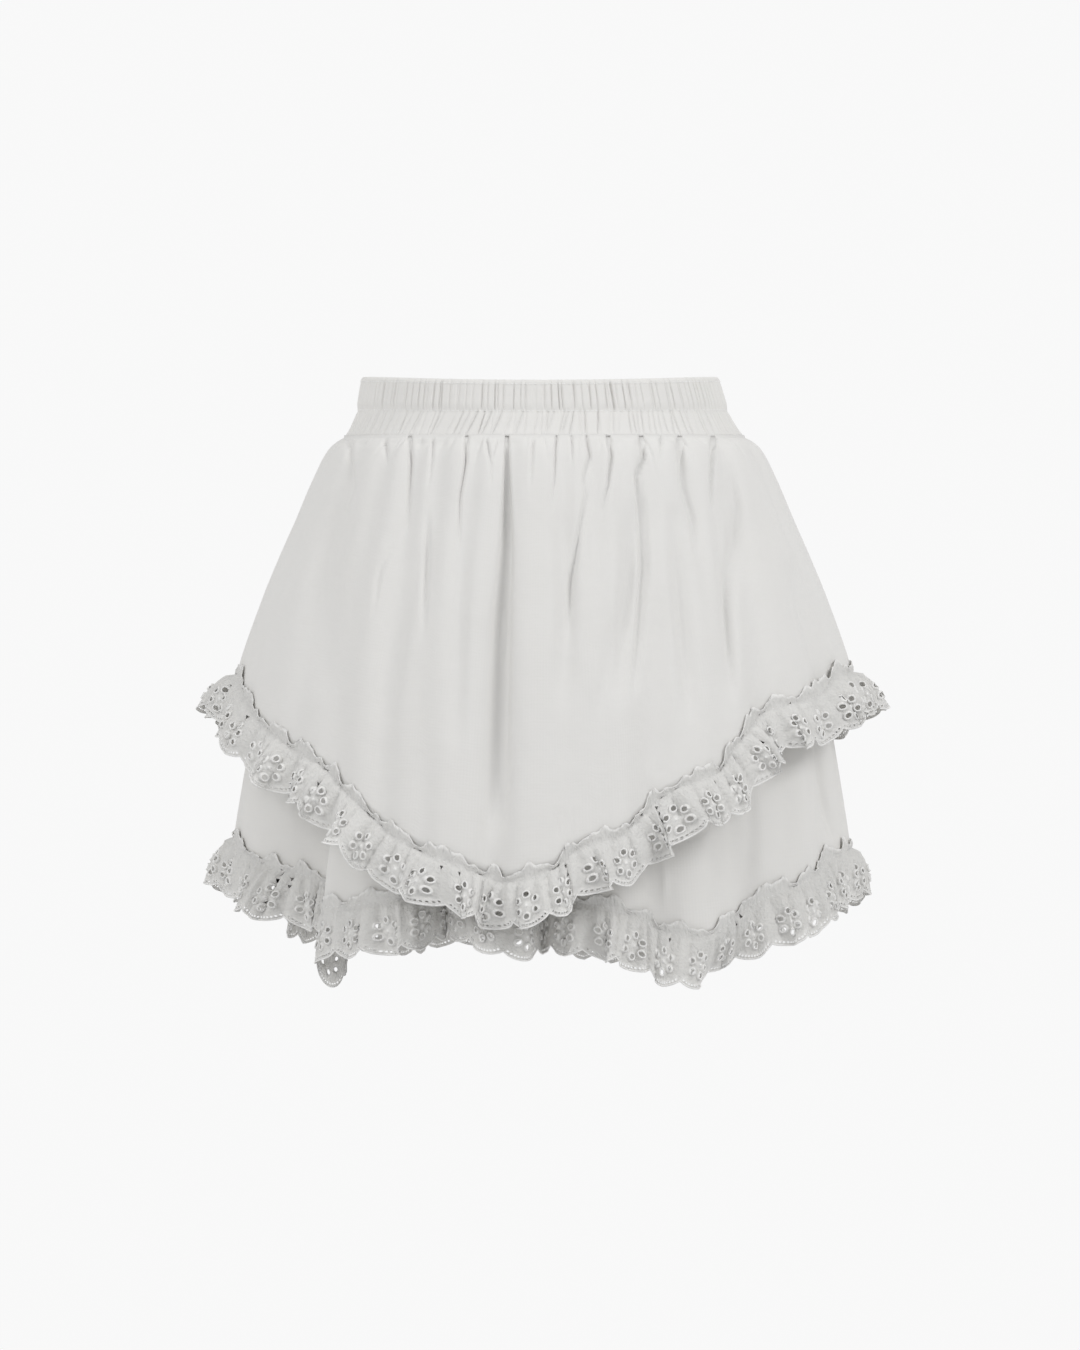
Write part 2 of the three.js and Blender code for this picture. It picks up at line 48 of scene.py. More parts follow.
skirt = {
    # sections down each tier: height, half width, half depth, and how far they stand to the right
    "upperSections": (
        (-0.0408, 0.1354, 0.1046, 0.0030),
        (-0.0440, 0.1410, 0.1090, 0.0034),
        (-0.0490, 0.1465, 0.1130, 0.0034),
        (-0.0690, 0.1570, 0.1200, 0.0034),
        (-0.0970, 0.1690, 0.1270, 0.0034),
        (-0.1240, 0.1810, 0.1340, 0.0034),
        (-0.1510, 0.1920, 0.1400, 0.0034),
        (-0.1990, 0.2085, 0.1490, 0.0034),
        (-0.2600, 0.2220, 0.1580, 0.0034),
        (-0.3300, 0.2350, 0.1670, 0.0034),
    ),
    "lowerSections": (
        (-0.0408, 0.1337, 0.1029, 0.0030),
        (-0.0440, 0.1386, 0.1066, 0.0034),
        (-0.0490, 0.1434, 0.1100, 0.0034),
        (-0.0690, 0.1520, 0.1156, 0.0030),
        (-0.0970, 0.1615, 0.1206, 0.0026),
        (-0.1240, 0.1700, 0.1250, 0.0022),
        (-0.1510, 0.1780, 0.1290, 0.0018),
        (-0.1990, 0.1895, 0.1340, 0.0014),
        (-0.2530, 0.1995, 0.1400, 0.0010),
        (-0.3200, 0.2105, 0.1470, 0.0008),
        (-0.3900, 0.2200, 0.1530, 0.0008),
    ),
    # height of the hem at each azimuth
    "upperHem": (
        (-180, -0.326), (-150, -0.282), (-120, -0.236), (-100, -0.210), (-82, -0.201),
        (-63, -0.226), (-50, -0.245), (-42, -0.255), (-35, -0.273), (-25, -0.301), (-15, -0.317),
        (-6, -0.328), (1, -0.320), (6, -0.305), (11, -0.301), (16, -0.286), (23, -0.268),
        (30, -0.260), (35, -0.241), (44, -0.220), (58, -0.212), (70, -0.199), (90, -0.200),
        (108, -0.211), (150, -0.284), (180, -0.326),
    ),
    "lowerHem": (
        (-180, -0.370), (-163, -0.370), (-150, -0.373), (-135, -0.365), (-113, -0.333),
        (-94, -0.314), (-86, -0.312), (-64, -0.328), (-47, -0.337), (-41.5, -0.369), (-37, -0.349),
        (-25, -0.342), (-16, -0.333), (-10, -0.338), (-5, -0.346), (3, -0.342), (8, -0.344),
        (16, -0.352), (23, -0.364), (28, -0.367), (34, -0.361), (39, -0.351), (48, -0.340),
        (57, -0.334), (64, -0.324), (80, -0.319), (96, -0.321), (108, -0.336), (120, -0.341),
        (140, -0.370), (152, -0.387), (163, -0.384), (180, -0.370),
    ),
    # folds that fall from the waist: azimuth at the waist and 300 mm below, half width, both depths
    "waistFolds": (
        (-62, -46, 4.2, 0.0032, 0.0020), (-47, -37, 3.6, 0.0026, 0.0015),
        (-37, -27, 3.2, 0.0036, 0.0034), (-30, -20, 3.0, 0.0030, 0.0020),
        (-19, -15, 2.6, 0.0032, 0.0006), (-9.3, -8.6, 3.6, 0.0038, 0.0085),
        (5, 3.5, 2.4, 0.0026, 0.0005), (12.5, 9, 2.6, 0.0030, 0.0012),
        (20, 15, 2.6, 0.0026, 0.0010), (28.5, 17, 3.2, 0.0038, 0.0046),
        (40, 31, 2.8, 0.0032, 0.0008), (57, 37, 3.8, 0.0036, 0.0050),
        (74, 66, 3.8, 0.0020, 0.0010), (92, 92, 4.0, 0.0024, 0.0015),
        (109, 118, 4.0, 0.0030, 0.0040), (124, 136, 3.6, 0.0034, 0.0020),
        (139, 146, 3.2, 0.0032, 0.0050), (155, 159, 3.0, 0.0030, 0.0015),
        (168, 172, 3.2, 0.0034, 0.0065), (-171, -173, 3.0, 0.0030, 0.0015),
        (-156, -160, 3.2, 0.0034, 0.0055), (-140, -147, 3.4, 0.0032, 0.0020),
        (-122, -131, 3.8, 0.0032, 0.0045), (-99, -104, 4.2, 0.0026, 0.0020),
    ),
    "foldLength": 0.300,
    "foldSettles": 0.75,  # share of that length at which the lower depth is reached
    "foldStart": 0.005,
    "innerFoldsFade": (0.060, 0.150),
    # hollows between the lower tier's flutes: azimuth, half width, depth, and the lips' swing
    "lowerFlutes": (
        (-18, 3.8, 0.023, 0.0025), (0.5, 3.6, 0.021, 0.0025), (20, 4.0, 0.004, 0.0005),
        (38, 5.0, 0.006, 0.0005), (64, 4.5, 0.004, 0.0), (118, 5.0, 0.017, 0.0020),
        (150, 5.0, 0.019, 0.0030), (176, 5.0, 0.015, 0.0020), (-155, 5.0, 0.020, 0.0030),
        (-122, 5.0, 0.016, 0.0020),
    ),
    "flutesBegin": 0.42,
    "flutesFull": 0.94,
    "swingPeak": 2.33,
    # the flute that folds over its neighbour
    "foldOver": {"azimuth": -41, "halfWidth": 0.022, "overlap": 0.014, "setBack": 0.026, "fade": 0.3},
}


def smoothStep(low, high, value):
    t = np.clip((value - low) / (high - low), 0.0, 1.0)
    return t * t * (3 - 2 * t)


def turnBetween(start, end):
    return (end - start + 540.0) % 360.0 - 180.0


# A smooth curve through two columns of a table, which never overshoots its rows
def readTable(rows, keyAt, valueAt, at):
    table = np.array(sorted((row[keyAt], row[valueAt]) for row in rows), float)
    x, y = table[:, 0], table[:, 1]
    slope = np.diff(y) / np.diff(x)
    tangent = np.empty_like(y)
    tangent[0], tangent[-1] = slope[0], slope[-1]
    before, after = slope[:-1], slope[1:]
    total = before + after
    flat = before * after <= 0
    tangent[1:-1] = np.where(flat, 0.0, 2 * before * after / np.where(flat, 1.0, total))
    at = np.clip(at, x[0], x[-1])
    i = np.clip(np.searchsorted(x, at, side="right") - 1, 0, len(x) - 2)
    span = x[i + 1] - x[i]
    t = (at - x[i]) / span
    return ((2 * t**3 - 3 * t**2 + 1) * y[i] + (t**3 - 2 * t**2 + t) * span * tangent[i]
            + (3 * t**2 - 2 * t**3) * y[i + 1] + (t**3 - t**2) * span * tangent[i + 1])


def waistFoldDepth(azimuth, drop):
    share = np.clip(drop / skirt["foldLength"], 0, 1)
    depth = np.zeros(np.broadcast(azimuth, drop).shape)
    for top, below, width, topDepth, belowDepth in skirt["waistFolds"]:
        centre = top + turnBetween(top, below) * np.sqrt(share)
        away = turnBetween(centre, azimuth) / width
        size = topDepth + (belowDepth - topDepth) * smoothStep(0, skirt["foldSettles"], share)
        depth += size * np.exp(-away * away)
    return depth * smoothStep(0, skirt["foldStart"], drop)


def fluteShift(azimuth, share, radius):
    inward = np.zeros(np.broadcast(azimuth, share).shape)
    aside = np.zeros_like(inward)
    for centre, width, depth, swing in skirt["lowerFlutes"]:
        away = turnBetween(centre, azimuth) / width
        bell = np.exp(-away * away)
        inward += depth * bell
        aside -= swing * skirt["swingPeak"] * away * bell
    over = skirt["foldOver"]
    place = np.radians(turnBetween(over["azimuth"], azimuth)) * radius / over["halfWidth"]
    aside -= np.where(np.abs(place) < 1, over["overlap"] * np.sin(np.pi * place), 0.0)
    behind = np.where(place < 0, np.exp(-(np.maximum(0, -place - 1) * over["fade"]) ** 2), 1.0)
    inward += over["setBack"] * (1 - smoothStep(-1, 1, place)) * behind
    strength = smoothStep(skirt["flutesBegin"], skirt["flutesFull"], share)
    return inward * strength, aside * strength


# Points on the middle of a tier's cloth, at azimuths and shares of the way to the hem
def tierPoint(tier, azimuth, share):
    azimuth = turnBetween(0.0, azimuth)
    sections = skirt[tier + "Sections"]
    top = sections[0][0]
    z = top + (readTable(skirt[tier + "Hem"], 0, 1, azimuth) - top) * share
    drop = top - z
    halfWidth, halfDepth, centre = (readTable(sections, 0, k, z) for k in (1, 2, 3))
    angle = np.radians(azimuth)
    nx, ny = np.sin(angle) / halfWidth, -np.cos(angle) / halfDepth
    size = np.hypot(nx, ny)
    nx, ny = nx / size, ny / size
    folds = waistFoldDepth(azimuth, drop)
    aside = np.zeros_like(z)
    if tier == "lower":
        inward, aside = fluteShift(azimuth, share, halfWidth)
        folds = inward + folds * (1 - smoothStep(*skirt["innerFoldsFade"], drop))
    x = centre + halfWidth * np.sin(angle) - nx * folds - ny * aside
    y = -halfDepth * np.cos(angle) - ny * folds + nx * aside
    return np.stack([x, y, z], axis=-1)


def unit(v):
    return v / np.maximum(np.linalg.norm(v, axis=-1, keepdims=True), 1e-12)


# Outward normals of a grid whose columns go round towards +X at the front and rows go down
def gridNormals(points):
    along = np.gradient(points, axis=0)
    down = np.gradient(points, axis=1)
    return -unit(np.cross(along, down))


def newPiece(name, vertices, faces):
    mesh = bpy.data.meshes.new(name)
    mesh.from_pydata(vertices.tolist(), [], faces.tolist())
    mesh.update()
    piece = bpy.data.objects.new(name, mesh)
    bpy.context.scene.collection.objects.link(piece)
    mesh.shade_smooth()
    return piece


def makeActive(piece):
    bpy.ops.object.select_all(action="DESELECT")
    piece.select_set(True)
    bpy.context.view_layer.objects.active = piece


def modify(piece, kind, **settings):
    makeActive(piece)
    bpy.ops.object.modifier_add(type=kind)
    modifier = piece.modifiers[-1]
    for key, value in settings.items():
        setattr(modifier, key, value)
    bpy.ops.object.modifier_apply(modifier=modifier.name)


# Where each point lies on the flat cloth, in metres, for the weave
def addFlatMap(piece, flat):
    mesh = piece.data
    layer = mesh.uv_layers.new(name="flatCloth")
    corner = np.empty(len(mesh.loops), np.int32)
    mesh.loops.foreach_get("vertex_index", corner)
    layer.data.foreach_set("uv", flat[corner].astype(np.float32).ravel())


# One value from 0 to 1 at each point, for the shader
def addShares(piece, name, values):
    attribute = piece.data.attributes.new(name=name, type="FLOAT", domain="POINT")
    attribute.data.foreach_set("value", np.asarray(values, np.float32))


# Quads of a grid stored column by column, turned outwards
def gridFaces(across, down, closed=False):
    i = np.arange(across if closed else across - 1)[:, None]
    j = np.arange(down - 1)[None, :]
    beside = (i + 1) % across
    quads = np.stack([i * down + j, i * down + j + 1, beside * down + j + 1, beside * down + j], axis=-1)
    return quads.reshape(-1, 4)


def evenAzimuths(tier, start, end, at):
    azimuths = np.linspace(start, end, 2881)
    points = tierPoint(tier, azimuths, np.ones_like(azimuths))
    walked = np.concatenate([[0.0], np.cumsum(np.linalg.norm(np.diff(points, axis=0), axis=1))])
    first, last = azimuths[1] - azimuths[0], azimuths[-1] - azimuths[-2]
    step = walked[1] - walked[0], walked[-1] - walked[-2]
    goal = np.asarray(at) * walked[-1]
    inside = np.interp(goal, walked, azimuths)
    before = np.minimum(goal, 0) * first / step[0]
    after = np.maximum(goal - walked[-1], 0) * last / step[1]
    return inside + before + after


# Where points appear on the plane through the origin that faces the photo's camera
def seenFromFront(points):
    eye = shot["eye"]
    scale = -eye[1] / (points[..., 1] - eye[1])
    return points[..., 0] * scale, eye[2] + (points[..., 2] - eye[2]) * scale


# Distance from a drawn line of (x, z) points, and the share of the way along it
def alongLine(x, z, line):
    nearest = np.full(x.shape, np.inf)
    share = np.zeros(x.shape)
    line = np.array(line)
    lengths = np.linalg.norm(np.diff(line, axis=0), axis=1)
    walked = 0.0
    for k, length in enumerate(lengths):
        start, direction = line[k], (line[k + 1] - line[k]) / length
        along = np.clip((x - start[0]) * direction[0] + (z - start[1]) * direction[1], 0, length)
        away = np.hypot(x - start[0] - along * direction[0], z - start[1] - along * direction[1])
        closer = away < nearest
        nearest = np.where(closer, away, nearest)
        share = np.where(closer, (walked + along) / lengths.sum(), share)
        walked += length
    return nearest, share


# The camera, which the creases are placed by too

shot = {
    "eye": (0.0, -3.0, -0.060),
    "aim": (0.0, 0.0, -0.202),
    "lens": 117.8,  # mm, on the 36 mm side
}

# Tiers

tiers = {
    # columns and rows of each panel, and how the rows crowd: over 1 puts more near the waist
    "grids": {
        "upper front": (880, 52, 1.60),
        "upper back": (560, 44, 1.50),
        "lower front": (380, 56, 0.85),
        "lower back": (340, 52, 0.85),
    },
    "top": -0.0393,
    "tuckIn": 0.0002,  # how far the cloth's edge lies behind the band's foot
    "tuckLength": 0.0010,
    "seamGap": 0.0003,
    "seamGroove": 0.0006,
    "seamWidth": 0.0014,
    "thickness": 0.0005,
    "lap": 0.0007,
    "creasesReach": 0.02,  # the creases are drawn on the front only, up to this far behind the sides
    # fine gathers that come out of the waist seam, along one panel
    "gathers": 46,
    "gatherDepth": (0.0002, 0.0014),
    "gatherWidth": (0.0007, 0.0015),
    "gatherLength": (0.008, 0.034),
    "gatherDrift": 2.0,
    "gatherStart": 0.003,
    "gatherFlare": 1.5,  # how much wider a gather is at its foot
    "gatherStray": 0.42,  # how far each one leaves its even place, in shares of the spacing
    "seed": 7,
    # Folds and creases: a line on the plane that faces the camera, in metres to the right and up,
    # then width and depth. Those from the waist start at full depth, the others rise and fade.
    "waistPleats": (
        (((-0.0884, -0.041), (-0.0873, -0.058), (-0.0898, -0.104)), 0.0014, 0.0040),
        (((-0.0499, -0.041), (-0.0503, -0.058), (-0.0544, -0.081), (-0.0553, -0.119)), 0.0013, 0.0036),
        (((-0.0363, -0.043), (-0.0329, -0.060), (-0.0335, -0.076)), 0.0011, 0.0022),
        (((-0.0284, -0.044), (-0.0329, -0.060)), 0.0010, 0.0014),
        (((0.0113, -0.041), (0.0102, -0.071), (0.0079, -0.090)), 0.0011, 0.0026),
        (((0.0215, -0.041), (0.0213, -0.060)), 0.0010, 0.0020),
        (((0.0317, -0.041), (0.0340, -0.0535), (0.0295, -0.069), (0.0328, -0.085)), 0.0011, 0.0026),
        (((0.0465, -0.041), (0.0490, -0.0535), (0.0465, -0.074), (0.0397, -0.097)), 0.0014, 0.0052),
        (((0.0690, -0.041), (0.0703, -0.0535), (0.0657, -0.067), (0.0690, -0.103)), 0.0015, 0.0050),
        (((0.0952, -0.042), (0.0975, -0.074), (0.1040, -0.097), (0.1066, -0.124)), 0.0020, 0.0050),
        (((0.1179, -0.041), (0.1168, -0.067), (0.1170, -0.090)), 0.0014, 0.0060),
        (((-0.1290, -0.044), (-0.1270, -0.074), (-0.1340, -0.097)), 0.0018, 0.0030),
        (((-0.1050, -0.043), (-0.1030, -0.062)), 0.0012, 0.0026),
        (((-0.0728, -0.043), (-0.0735, -0.058), (-0.0760, -0.075)), 0.0011, 0.0022),
        (((-0.0048, -0.043), (-0.0068, -0.074)), 0.0013, 0.0020),
        (((0.0820, -0.041), (0.0815, -0.060)), 0.0010, 0.0018),
    ),
    # the deep flat-bottomed valley left of the middle: points, then width and depth at each
    "mainValley": {
        "line": ((-0.0224, -0.040), (-0.0224, -0.066), (-0.0230, -0.118), (-0.0258, -0.163),
                 (-0.0272, -0.218), (-0.0290, -0.312)),
        "width": ((0, 0.0012), (0.1, 0.0021), (0.3, 0.0044), (0.46, 0.0056), (0.7, 0.0064), (1, 0.0074)),
        "depth": ((0, 0.0060), (0.1, 0.0064), (0.3, 0.0066), (0.46, 0.0072), (0.7, 0.0068),
                  (0.88, 0.0046), (1, 0)),
        "flatness": 2.8,  # 2 is a round valley, more has a flatter bottom and steeper sides
    },
    "upperCreases": (
        (((-0.0762, -0.092), (-0.0774, -0.130), (-0.0789, -0.172)), 0.0020, 0.0026),
        (((0.0328, -0.078), (0.0249, -0.115), (0.0209, -0.137), (0.0200, -0.172)), 0.0020, 0.0034),
        (((0.0690, -0.070), (0.0714, -0.130), (0.0680, -0.176), (0.0635, -0.214)), 0.0026, 0.0052),
        (((0.0498, -0.160), (0.0450, -0.200), (0.0395, -0.235)), 0.0050, 0.0018),
        (((0.1290, -0.060), (0.1337, -0.088), (0.1315, -0.119), (0.1292, -0.156), (0.1315, -0.215)),
         0.0034, 0.0040),
        (((-0.0950, -0.103), (-0.1090, -0.131), (-0.1130, -0.160)), 0.0020, 0.0011),
        (((-0.1350, -0.080), (-0.1430, -0.136), (-0.1500, -0.218)), 0.0100, 0.0036),
        (((-0.0820, -0.110), (-0.0950, -0.170), (-0.1060, -0.240)), 0.0075, 0.0026),
        (((-0.0540, -0.075), (-0.0560, -0.160), (-0.0560, -0.260)), 0.0070, 0.0030),
        (((0.0640, -0.080), (0.0620, -0.136), (0.0520, -0.225)), 0.0065, 0.0060),
        (((0.0900, -0.085), (0.0950, -0.136), (0.1020, -0.235)), 0.0062, 0.0056),
        (((0.1180, -0.070), (0.1260, -0.136), (0.1300, -0.220)), 0.0062, 0.0044),
        (((0.1700, -0.120), (0.1870, -0.180), (0.1970, -0.225)), 0.0070, 0.0060),
        (((0.0140, -0.090), (0.0190, -0.150), (0.0150, -0.230)), 0.0075, 0.0040),
        (((0.0030, -0.3050), (0.0180, -0.3056), (0.0330, -0.3060)), 0.0014, 0.0008),
        (((0.0030, -0.3018), (0.0280, -0.3020)), 0.0012, 0.0004),
        (((-0.0500, -0.3112), (-0.0340, -0.3110)), 0.0014, 0.0006),
        (((0.1470, -0.1990), (0.1610, -0.1992)), 0.0014, 0.0007),
    ),
    "lowerCreases": (
        (((-0.1410, -0.3600), (-0.1250, -0.3596), (-0.1080, -0.3590)), 0.0014, 0.0011),
        (((-0.1410, -0.3560), (-0.1150, -0.3566)), 0.0013, 0.0005),
        (((0.1880, -0.2380), (0.1930, -0.2860), (0.2020, -0.3200)), 0.0030, 0.0052),
        (((0.1700, -0.2400), (0.1790, -0.2860), (0.1820, -0.3300)), 0.0090, -0.0030),
        (((0.1130, -0.2750), (0.1180, -0.3050), (0.1180, -0.3500)), 0.0080, 0.0034),
        (((0.0840, -0.3250), (0.0850, -0.3420), (0.0845, -0.3600)), 0.0026, -0.0010),
        (((0.0870, -0.3380), (0.1000, -0.3385)), 0.0013, 0.0005),
        (((0.1420, -0.2700), (0.1440, -0.3100), (0.1400, -0.3500)), 0.0060, 0.0016),
    ),
}


def fineGathers(tier, side, azimuth, drop):
    chance = random.Random(f"{tiers['seed']} {tier} {side}")
    middle = 0.0 if side == "front" else 180.0
    depth = np.zeros(azimuth.shape)
    radius = skirt[tier + "Sections"][0][1]
    count = tiers["gathers"]
    stray = tiers["gatherStray"]
    for k in range(count):
        place = middle - 90 + 180 * (k + 0.5 + chance.uniform(-stray, stray)) / count
        length = chance.uniform(*tiers["gatherLength"])
        size = chance.uniform(*tiers["gatherDepth"])
        width = chance.uniform(*tiers["gatherWidth"])
        drift = chance.uniform(-1, 1) * tiers["gatherDrift"]
        share = np.clip(drop / length, 0, 1)
        wide = width * (1 + tiers["gatherFlare"] * share)
        away = np.radians(turnBetween(place + drift * share, azimuth)) * radius / wide
        near = np.abs(away) < 3
        depth[near] += (size * (1 - share) ** 1.3 * np.exp(-away * away))[near]
    return depth * smoothStep(0, tiers["gatherStart"], drop)


def creaseDepth(tier, points):
    x, z = seenFromFront(points)
    depth = np.zeros(x.shape)
    front = points[..., 1] < tiers["creasesReach"]
    pleats = tiers["waistPleats"] if tier == "upper" else ()
    for fromWaist, rows in ((True, pleats), (False, tiers[tier + "Creases"])):
        for line, width, size in rows:
            away, share = alongLine(x, z, line)
            fade = (1 - share) ** 0.8 if fromWaist else np.sin(np.pi * np.clip(share, 0.01, 0.99)) ** 0.7
            depth += np.where(front, size * fade * np.exp(-((away / width) ** 2)), 0)
    if tier == "upper":
        valley = tiers["mainValley"]
        away, share = alongLine(x, z, valley["line"])
        width, size = (readTable(valley[key], 0, 1, share) for key in ("width", "depth"))
        depth += np.where(front, size * np.exp(-np.abs(away / width) ** valley["flatness"]), 0)
    return depth


def panelRange(side):
    middle = 0.0 if side == "front" else 180.0
    turn = math.degrees(tiers["seamGap"] / 2 / skirt["upperSections"][0][2])
    return middle - 90 + turn, middle + 90 - turn


def makeTier(tier, side):
    across, down, crowding = tiers["grids"][f"{tier} {side}"]
    along = np.linspace(0, 1, across)
    azimuth = evenAzimuths(tier, *panelRange(side), along)
    share = np.linspace(0, 1, down) ** crowding
    a, s = np.meshgrid(azimuth, share, indexing="ij")
    points = tierPoint(tier, a, s)
    drop = points[0, 0, 2] - points[..., 2]
    normals = gridNormals(points)
    sunk = fineGathers(tier, side, a, drop) + creaseDepth(tier, points)
    sunk += tiers["tuckIn"] * np.exp(-drop / tiers["tuckLength"])
    fromSeam = np.minimum(turnBetween(azimuth[0], a), turnBetween(a, azimuth[-1]))
    fromSeam = np.radians(np.abs(fromSeam)) * skirt["upperSections"][5][2]
    sunk += tiers["seamGroove"] * np.exp(-((fromSeam / tiers["seamWidth"]) ** 2))
    points = points - normals * sunk[..., None]
    points[:, 0, 2] = tiers["top"]
    piece = newPiece(f"{tier}_tier_cloth_{side}", points.reshape(-1, 3), gridFaces(across, down))
    hem = np.linalg.norm(np.diff(points[:, -1], axis=0), axis=1).sum()
    step = np.linalg.norm(np.diff(points, axis=1), axis=2)
    length = np.concatenate([np.zeros((across, 1)), np.cumsum(step, axis=1)], axis=1)
    flat = np.stack([np.broadcast_to(along[:, None] * hem, length.shape), length], axis=-1)
    addFlatMap(piece, flat.reshape(-1, 2))
    modify(piece, "SOLIDIFY", thickness=tiers["thickness"], offset=0)
    piece["hem"], piece["longest"] = float(hem), float(length[:, -1].max())
    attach(piece, "root")
    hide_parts(f"{tier}_tier_{side}")
    return piece


# Eyelet edging

edging = {
    "scallops": 30,  # along one panel
    "width": 0.0286,  # of one scallop on the flat
    "header": 0.0062,
    "drop": {"upper": 0.032, "lower": 0.035},
    "plumbFrom": {"upper": 0.65, "lower": 0.84},  # share of the tier's height that sets which way it falls
    "start": {"upper": 0, "lower": 2},  # so that the two tiers' folds differ
    # stretches where the lower edging turns in under the skirt: azimuth, width, share of its drop
    "tucks": ((-86, 10, 0.15), (33, 6, 0.7), (86, 10, 0.35)),
    "rise": 0.0055,
    "lean": 0.6,
    "middleLift": 0.47,  # share of the lift that is there at the middle
    "middle": 0.4,
    "edgeLift": 0.017,
    "ease": 0.002,
    "sway": 0.0030,
    "overlap": 0.0078,  # how far each wave leans over the next
    "waves": 15,
    "waveUneven": 0.24,
    "waveSharp": 0.66,  # under 1 makes broad lobes with narrow hollows between them
    "endColumns": 4,  # the waves die away over this many steps at the side seams
    "columns": 3,  # steps to a scallop, for endColumns and for the slopes
    "thickness": 0.00045,
    # smaller folds between the waves and puckers at the gathering stitches, both so many to a scallop
    "folds": 2.3,
    "foldDepth": 0.0064,
    "puckers": 5.2,
    "puckerDepth": 0.0030,
    "puckerBelow": 0.010,
    "puckerAbove": 0.35,
    # the frill that stands above the stitches
    "frillLift": 0.0013,
    "frillUneven": 0.52,
    # the eyelets
    "flowerDown": 0.54,  # share of the drop
    "petals": 6,
    "petalRing": 0.0070,
    # half width and half length of a petal's hole, its rim's crest and foot, and the groove outside
    "hole": (0.00155, 0.00175),
    "rimCrest": (0.0021, 0.0023),
    "rim": (0.0026, 0.0028),
    "rimHeight": 0.0011,
    "groove": (0.0030, 0.0032),
    "grooveDepth": 0.0005,
    "centre": 0.0011,
    "ringSides": 12,
    "dotSides": 8,
    # the row of small holes along the edge
    "dots": 13,
    "dotIn": 0.0024,
    "dotHole": 0.00070,
    "dotRim": 0.00106,
    "dotHeight": 0.0003,
    "edgeSatin": 0.0012,
    "edgeHeight": 0.0007,
    "edgeSteps": 24,
    "acrossSteps": 12,
    "mesh": 0.0025,  # between the points that fill the rest
    # rows down both sides of a scallop, below the header's edge
    "sideRows": (-0.0040, -0.0018, 0, 0.0016, 0.0034, 0.0056, 0.008, 0.0105, 0.013, 0.0155,
                 0.018, 0.0205, 0.023, 0.0250),
}


def scallopRadius():
    half, rise = edging["width"] / 2, edging["rise"]
    return (half * half + rise * rise) / (2 * rise)


# How far down the edge lies across one scallop, u from 0 to 1
def scallopEdge(u, drop):
    radius = scallopRadius()
    across = (u * 2 - 1) * edging["width"] / 2
    return drop - (radius - np.sqrt(radius * radius - across * across))


def scallopNormal(u):
    across = (u * 2 - 1) * edging["width"] / 2 / scallopRadius()
    return across, math.sqrt(1 - across**2)


